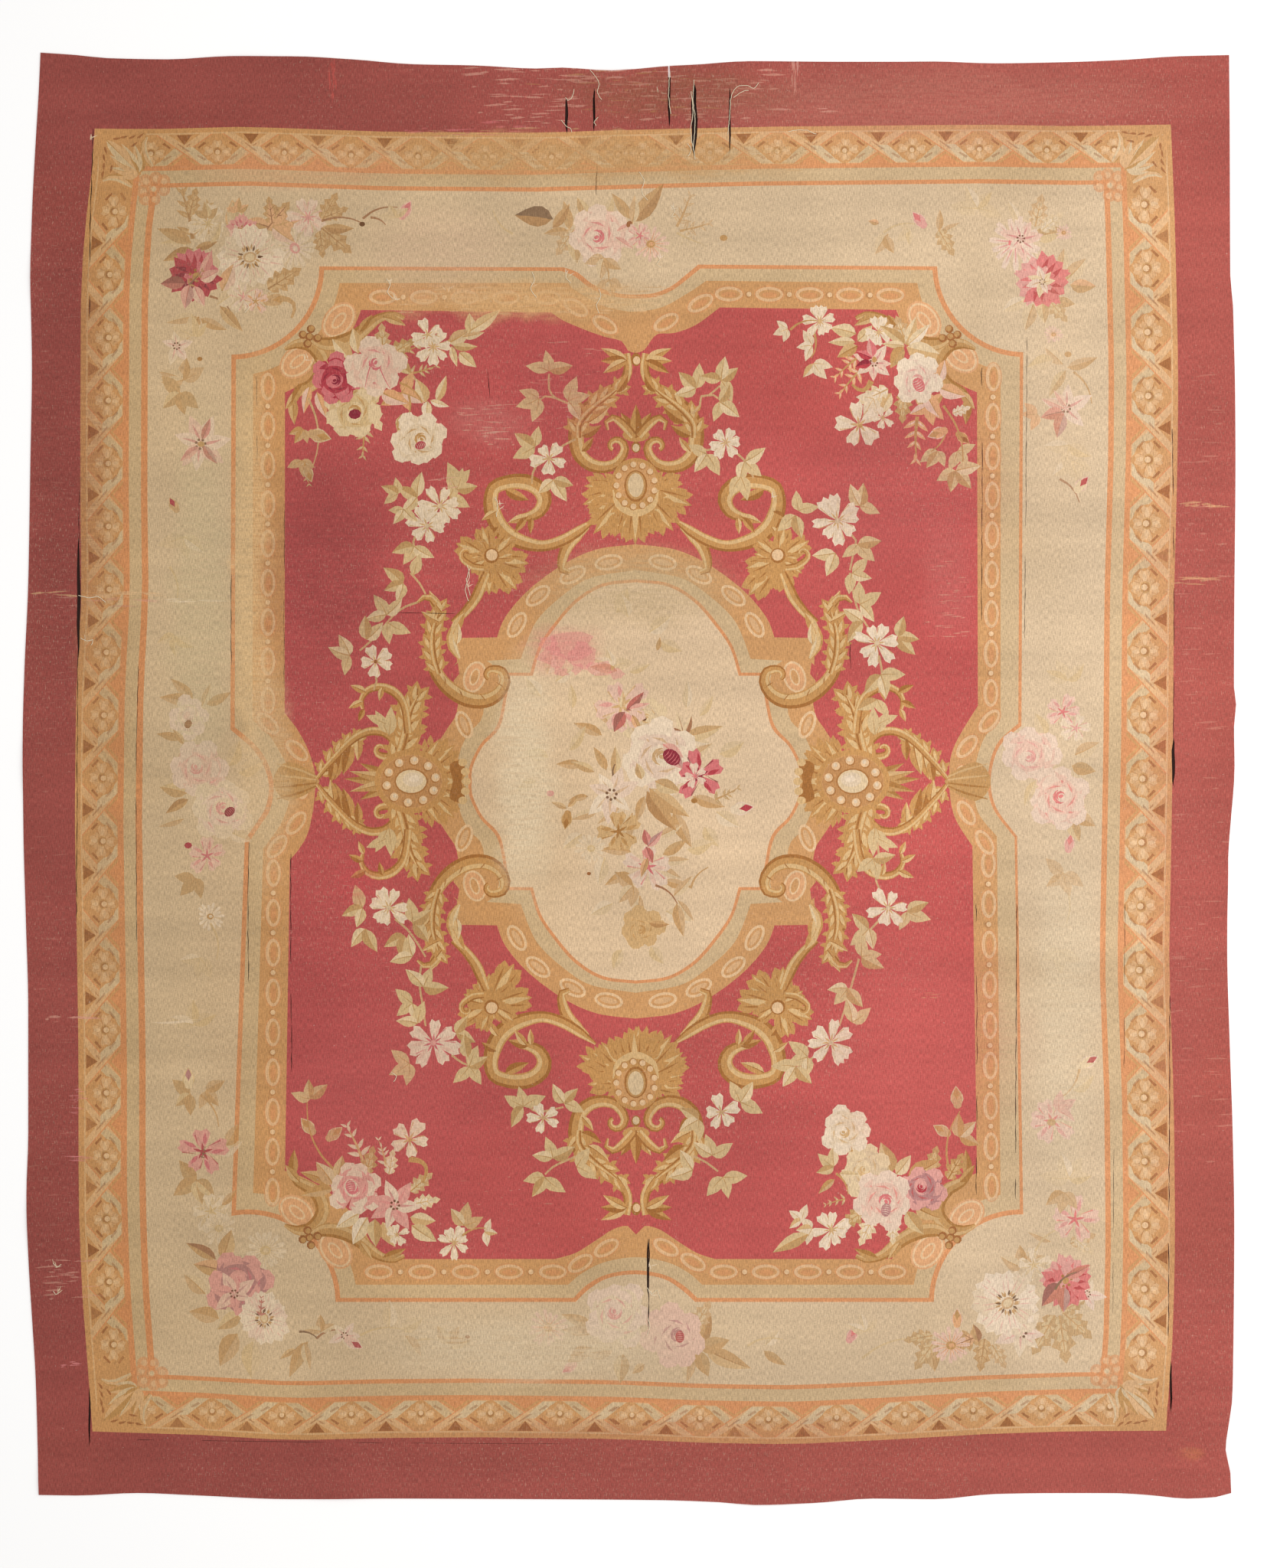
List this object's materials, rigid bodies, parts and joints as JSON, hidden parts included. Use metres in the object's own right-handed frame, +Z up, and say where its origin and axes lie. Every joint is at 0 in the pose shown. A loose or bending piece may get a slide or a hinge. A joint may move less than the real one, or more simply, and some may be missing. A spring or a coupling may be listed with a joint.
{
  "type": "aubusson rug",
  "caption": "Large old flat-woven wool tapestry carpet with a faded red surround, scrolled gold frames, flower sprays and a pale central medallion, lying flat.",
  "frame": {"origin": "middle of the carpet's underside, on the floor", "axes": "+X across the carpet, +Y along it towards the torn end, +Z up out of its face"},
  "size_m": [3.96, 4.74, 0.0136],
  "materials": {
    "tapestry_wool": "matt flat-woven wool, faded red, gold, khaki and cream"
  },
  "bodies": {
    "root": {"woven_rug": "tapestry_wool"}
  },
  "joints": []
}
